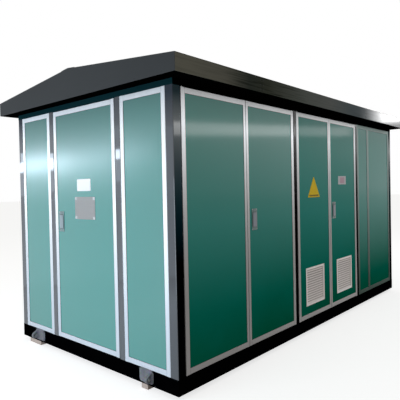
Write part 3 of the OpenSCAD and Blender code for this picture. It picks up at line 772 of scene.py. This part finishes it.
data_w, data_h, data_y, data_z = 0.281, 0.186, -0.0185, 1.313
data_front = END_FACE - PLATE_THICK
data_plate = bmesh.new()
stamp(data_plate, as_pattern("sheet", plate(data_w, data_h, PLATE_THICK, 0.006)),
      facing(LEFT, (END_FACE, data_y, data_z)))
raised = as_pattern("raised", ring(data_w - 0.022, data_h - 0.022, 0.0035, 0.0006))
stamp(data_plate, raised, facing(LEFT, (data_front, data_y, data_z)))
washer = as_pattern("washer", plate(0.026, 0.022, WASHER_THICK, 0.006, 0.0))
reach_y, reach_z = data_w / 2 - 0.015, data_h / 2 - 0.013
for y in (data_y - reach_y, data_y + reach_y):
    for z in (data_z - reach_z, data_z + reach_z):
        stamp(data_plate, washer, facing(LEFT, (data_front, y, z)), material=1)
        stamp(data_plate, rivet, facing(LEFT, (data_front - WASHER_THICK, y, z)), material=1)
finish_piece("end_door_data_plate", data_plate, "end_door", "frame_aluminium", plate_steel, bright_steel)

# %% Hang the triangle and the small plate
def triangle(width, height, thick, corner):
    shape = bmesh.new()
    bmesh.ops.create_circle(shape, cap_ends=True, segments=3, radius=1.0)
    bmesh.ops.scale(shape, vec=(width / math.sqrt(3), height / 1.5, 1), verts=shape.verts)
    bmesh.ops.translate(shape, vec=(0, -height / 6, 0), verts=shape.verts)
    bmesh.ops.bevel(
        shape, geom=shape.verts[:], offset=corner, offset_type="OFFSET", affect="VERTICES",
        segments=4, profile=0.5, material=-1)
    return thicken(shape, thick, 0.0)


patch_front = SIDE_FACE - PLATE_THICK
sign_x, sign_z, sign_w, sign_h = -0.1095, 1.4465, 0.255, 0.207
bar_z = sign_z - sign_h / 2 + 0.018
yellow = bmesh.new()
stamp(yellow, as_pattern("yellow", triangle(sign_w, sign_h, PLATE_THICK, 0.010)),
      facing(FRONT, (sign_x, SIDE_FACE, sign_z)))
stamp(yellow, as_pattern("foot_bar", plate(0.75 * sign_w, 0.016, PATCH_THICK, 0.004, 0.0)),
      facing(FRONT, (sign_x, patch_front, bar_z)), material=1)
finish_piece("bay_2_triangle", yellow, "bay_2_left_leaf", "louvre_plastic", sign_yellow, sign_amber)

small_x, small_z, small_w, small_h = 0.560, 1.512, 0.200, 0.092
patch_x, patch_w, patch_h = small_x + 0.004, 0.116, 0.066
small = bmesh.new()
stamp(small, as_pattern("small", plate(small_w, small_h, PLATE_THICK, 0.006)),
      facing(FRONT, (small_x, SIDE_FACE, small_z)))
stamp(small, as_pattern("patch", plate(patch_w, patch_h, PATCH_THICK, 0.002, 0.0)),
      facing(FRONT, (patch_x, patch_front, small_z)), material=1)
finish_piece("bay_2_small_plate", small, "bay_2_right_leaf", "louvre_plastic", sign_grey, sign_pink)

# %% [markdown]
# ## Fasteners
# Louvre flanges are screwed to their leaves. Rivets hold the folded roof sheets where they lap: in two
# rows along the ridge cap, beside each fascia joint and along the foot of the gables. The pitch of the
# roof turns the ridge rivets square to the slope.

# %% Screw on the louvres and rivet the roof
FLANGE_IN = 0.009
for node in ("bay_2_left_louvre", "bay_2_right_louvre"):
    low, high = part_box(node)
    fixed = bmesh.new()
    for x in (low.x + FLANGE_IN, (low.x + high.x) / 2, high.x - FLANGE_IN):
        for z in (low.z + FLANGE_IN, high.z - FLANGE_IN):
            stamp(fixed, screw, facing(FRONT, (x, low.y, z)))
    finish_piece(node + "_screws", fixed, BODY_OF[node], "louvre_plastic", bright_steel)

ROOF_RISE, ROOF_HALF = 0.120, 1.199
CAP_PITCH, CAP_INSET, CAP_END = 0.280, 0.016, 0.050
FASCIA_JOINTS, JOINT_SIDE, JOINT_ROWS = (-1.238, 0.912), 0.020, (0.2, 0.5, 0.8)
GABLE_RIVETS, GABLE_PITCH, GABLE_UP = 9, 0.27, 0.015
rivets = bmesh.new()

cap_low, cap_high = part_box("ridge_cap")
slope = math.atan(ROOF_RISE / ROOF_HALF)
row = int((cap_high.x - cap_low.x - 2 * CAP_END) / CAP_PITCH)
run = cap_high.y - CAP_INSET
fall = cap_high.z - run * math.tan(slope)
for side in (-1, 1):
    out = Vector((0, side * math.sin(slope), math.cos(slope)))
    along = RIGHT * side
    turned = Matrix((along, out.cross(along), out)).transposed().to_4x4()
    for step in range(row + 1):
        x = (step - row / 2) * CAP_PITCH
        stamp(rivets, rivet, Matrix.Translation((x, side * run, fall)) @ turned)

fascia_low, fascia_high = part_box("front_fascia")
for joint in FASCIA_JOINTS:
    for x in (joint - JOINT_SIDE, joint + JOINT_SIDE):
        for share in JOINT_ROWS:
            z = fascia_low.z + share * (fascia_high.z - fascia_low.z)
            stamp(rivets, rivet, facing(FRONT, (x, fascia_low.y, z)))
            stamp(rivets, rivet, facing(REAR, (x, -fascia_low.y, z)))

gable_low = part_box("left_gable")[0]
for step in range(GABLE_RIVETS):
    y = (step - GABLE_RIVETS // 2) * GABLE_PITCH
    stamp(rivets, rivet, facing(LEFT, (gable_low.x, y, gable_low.z + GABLE_UP)))
    stamp(rivets, rivet, facing(RIGHT, (-gable_low.x, y, gable_low.z + GABLE_UP)))
finish_piece("roof_rivets", rivets, "enclosure", "roof_paint", roof_paint)

# %% [markdown]
# ## Weld beads
# The lifting lugs are welded to the ends of the base. A fillet weld runs round each doubler plate, and a
# straight one down each side of its eye plate. The bead is a low rim that slopes from the beam up to
# the plate; its edge is cut into many short lengths, which a slow wave moves in and out as a welder's
# hand does.

# %% Weld the lugs
BEAD = 0.006
RIPPLE, RIPPLE_PITCH = 0.0008, 0.009


def fillet(width, height, corner):
    shape = square(width + 2 * BEAD, height + 2 * BEAD, corner + BEAD)
    sides = [edge for edge in shape.edges if edge.calc_length() > corner]
    bmesh.ops.subdivide_edges(shape, edges=sides, cuts=14)
    for vert in shape.verts:
        turn = vert.co.x + 1.7 * vert.co.y
        vert.co *= 1 + RIPPLE * math.sin(turn * 2 * math.pi / RIPPLE_PITCH) / vert.co.length
    raised = bmesh.ops.extrude_face_region(shape, geom=shape.faces[:])["geom"]
    top = [item for item in raised if isinstance(item, bmesh.types.BMVert)]
    bmesh.ops.translate(shape, vec=(0, 0, BEAD), verts=top)
    bmesh.ops.scale(shape, vec=(width / (width + 2 * BEAD), height / (height + 2 * BEAD), 1), verts=top)
    bmesh.ops.holes_fill(shape, edges=[e for e in shape.edges if e.is_boundary], sides=0)
    return as_pattern("fillet", shape)


def straight_bead(length):
    shape = bmesh.new()
    bmesh.ops.create_cone(
        shape, cap_ends=True, segments=8, radius1=0.7 * BEAD, radius2=0.7 * BEAD, depth=length)
    long_edges = [e for e in shape.edges if abs(e.verts[0].co.z - e.verts[1].co.z) > 0.5 * length]
    bmesh.ops.subdivide_edges(shape, edges=long_edges, cuts=16)
    for vert in shape.verts:
        swell = 1 + 0.15 * math.sin(vert.co.z * 2 * math.pi / RIPPLE_PITCH)
        vert.co.x *= swell
        vert.co.y *= swell
    return as_pattern("straight", shape)


DOUBLER_W, DOUBLER_H, DOUBLER_R, DOUBLER_Z, DOUBLER_T = 0.132, 0.094, 0.020, 0.105, 0.010
LUG_Y, EYE_NEAR, EYE_FAR = 0.738, 0.777, 0.801
EYE_BEAD, EYE_BEAD_Z = 0.070, DOUBLER_Z - 0.005
END_X = 2.120
round_it, down_it = fillet(DOUBLER_W, DOUBLER_H, DOUBLER_R), straight_bead(EYE_BEAD)
welds = bmesh.new()
for out in (LEFT, RIGHT):
    for side in (-1, 1):
        stamp(welds, round_it, facing(out, (out.x * END_X, side * LUG_Y, DOUBLER_Z)))
        for y in (EYE_NEAR, EYE_FAR):
            place = (out.x * (END_X + DOUBLER_T), side * y, EYE_BEAD_Z)
            stamp(welds, down_it, Matrix.Translation(place))
finish_piece("lug_welds", welds, "enclosure", "lug_steel", lug_zinc)

# %% [markdown]
# ## Timber blocks
# The enclosure stands on four offcuts of sawn timber. Each keeps the place and size of its plain solid,
# but its edges are worn round and its sides are wavy from the saw. Only points between the top and the
# bottom move, so the block still carries the base and still lies flat.

# %% Saw the blocks
CUT, WEAR, WAVE = 0.012, 0.003, 0.0016
COARSE, FINE, FINE_SHARE, SWING = 60, 190, 0.6, 0.6


def sawn_block(low, high):
    shape = bmesh.new()
    bmesh.ops.create_cube(shape, size=1.0)
    bmesh.ops.scale(shape, vec=high - low - Vector((2 * WAVE, 2 * WAVE, 0)), verts=shape.verts)
    bmesh.ops.translate(shape, vec=(low + high) / 2, verts=shape.verts)
    bmesh.ops.bevel(
        shape, geom=shape.edges[:], offset=WEAR, offset_type="OFFSET", affect="EDGES",
        segments=2, profile=0.5, material=-1)
    for axis in range(3):
        span = high[axis] - low[axis]
        cuts = int(span / CUT)
        for step in range(1, cuts):
            where = Vector((0, 0, 0))
            where[axis] = low[axis] + span * step / cuts
            normal = Vector((0, 0, 0))
            normal[axis] = 1
            everything = shape.verts[:] + shape.edges[:] + shape.faces[:]
            bmesh.ops.bisect_plane(shape, geom=everything, plane_co=where, plane_no=normal)
    middle = (low + high) / 2
    for vert in shape.verts:
        if low.z + 0.001 < vert.co.z < high.z - 0.001:
            away = vert.co - middle
            away.z = 0
            ripple = noise.noise(vert.co * COARSE) + FINE_SHARE * noise.noise(vert.co * FINE)
            vert.co += away.normalized() * WAVE * ripple * SWING
    return as_pattern("block", shape)


timber = bmesh.new()
for low, high in solids_of("support_blocks"):
    stamp(timber, sawn_block(low, high), Matrix.Identity(4))
blocks = finish_piece("timber_blocks", timber, "enclosure", "block_wood", block_timber)
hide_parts("support_blocks")

# %% [markdown]
# ## The studio
# The lights are soft rectangles. The end fill lights the end with the single door. The side light, the
# glow and the thin strip stand to the left and behind, where the gloss of that end mirrors them as a
# bloom with a brighter band, and the spot adds a short glare to the posts beside the door. The front
# strip runs along the long side and draws the faint band near the top of its doors; apart from that
# the side stays in half shade. The far glare washes out the end of the fascia, and a weak light
# overhead keeps the roof from sinking.

# %% Hang the lights
def soft_light(name, place, target, width, height, radiance, colour=(1.0, 1.0, 1.0), tilt=0.0):
    """A rectangle that faces its target; tilt raises the end on its own right, in degrees."""
    data = bpy.data.lights.new(name, "AREA")
    data.shape, data.size, data.size_y = "RECTANGLE", width, height
    data.energy = radiance * math.pi * width * height
    data.color = colour
    light = bpy.data.objects.new(name, data)
    light.location = place
    facing_it = (Vector(target) - Vector(place)).to_track_quat("-Z", "Y")
    light.rotation_euler = (facing_it @ Quaternion((0, 0, 1), math.radians(tilt))).to_euler()
    bpy.context.scene.collection.objects.link(light)


COOL = (0.84, 0.98, 1.14)
soft_light("end_fill", (-4.90, -0.10, 0.80), (-2.12, -0.10, 0.80), 1.8, 1.6, 5.0, COOL)
soft_light("side_light", (-3.95, 2.65, 1.25), (-2.12, 0.0, 1.25), 3.0, 2.4, 0.3, COOL)
soft_light("side_glow", (-3.76, 2.86, 1.70), (-1.80, 0.24, 1.70), 2.1, 0.45, 0.7, COOL, tilt=7.8)
soft_light("side_strip", (-3.85, 2.73, 1.916), (-1.92, 0.15, 1.916), 2.4, 0.145, 6.0, COOL, tilt=7.8)
soft_light("side_spot", (-3.22, 2.49, 1.86), (-2.12, 0.60, 1.72), 0.60, 0.24, 3.5, COOL)
soft_light("front_strip", (7.1, -6.0, 3.08), (7.1, 0.0, 3.08), 11.3, 0.30, 1.8, tilt=3.9)
soft_light("far_glare", (9.0, -3.55, 3.55), (1.8, -1.2, 2.27), 1.8, 0.7, 7.0)
soft_light("top_light", (0.0, 0.0, 7.0), (0.0, 0.0, 0.0), 10.0, 10.0, 0.35)
print(len(bpy.data.lights), "lights")

# %% [markdown]
# A pale floor takes the shadow. The studio is white where the eye sees it, also by a reflection, and
# gentler as a source of light: the Light Path node tells those rays apart, for the world behind the
# object and for the floor under it.

# %% Lay the floor and whiten the background
AMBIENT = 0.33
FLOOR_REACH = 60.0
world = bpy.data.worlds.new("studio")
bpy.context.scene.world = world
world.use_nodes = True


class Studio(Finish):
    def __init__(self, tree):
        self.tree = tree
        self.tree.nodes.clear()

    def seen(self):
        rays = self.node("LightPath")
        direct = self.out(rays, "Is Camera Ray") + self.out(rays, "Is Glossy Ray")
        return (direct + self.out(rays, "Is Transmission Ray")).clipped()


sky = Studio(world.node_tree)
backdrop = sky.node("Background", {}, {
    "Color": sky.mix(sky.seen(), rgba(1.02, 1.0, 0.95), rgba(1.0, 1.0, 1.0)),
    "Strength": AMBIENT + (1 - AMBIENT) * sky.seen()})
sky.node("OutputWorld", {}, {"Surface": sky.out(backdrop, 0)})

floor_material = bpy.data.materials.new("studio_floor")
floor_material.use_nodes = True
ground = Studio(floor_material.node_tree)
lit = ground.node("BsdfPrincipled", {}, {
    "Base Color": rgba(0.60, 0.60, 0.60), "Roughness": 0.9, "Specular IOR Level": 0.0,
    "Emission Color": ground.mix(ground.seen(), rgba(0.0, 0.0, 0.0), rgba(0.72, 0.72, 0.72)),
    "Emission Strength": 1.0})
ground.node("OutputMaterial", {}, {"Surface": ground.out(lit, 0)})
net = bmesh.new()
bmesh.ops.create_grid(net, x_segments=1, y_segments=1, size=FLOOR_REACH)
floor_mesh = bpy.data.meshes.new("studio_floor")
net.to_mesh(floor_mesh)
net.free()
floor = bpy.data.objects.new("studio_floor", floor_mesh)
floor.data.materials.append(floor_material)
bpy.context.scene.collection.objects.link(floor)
print("floor:", floor.name)
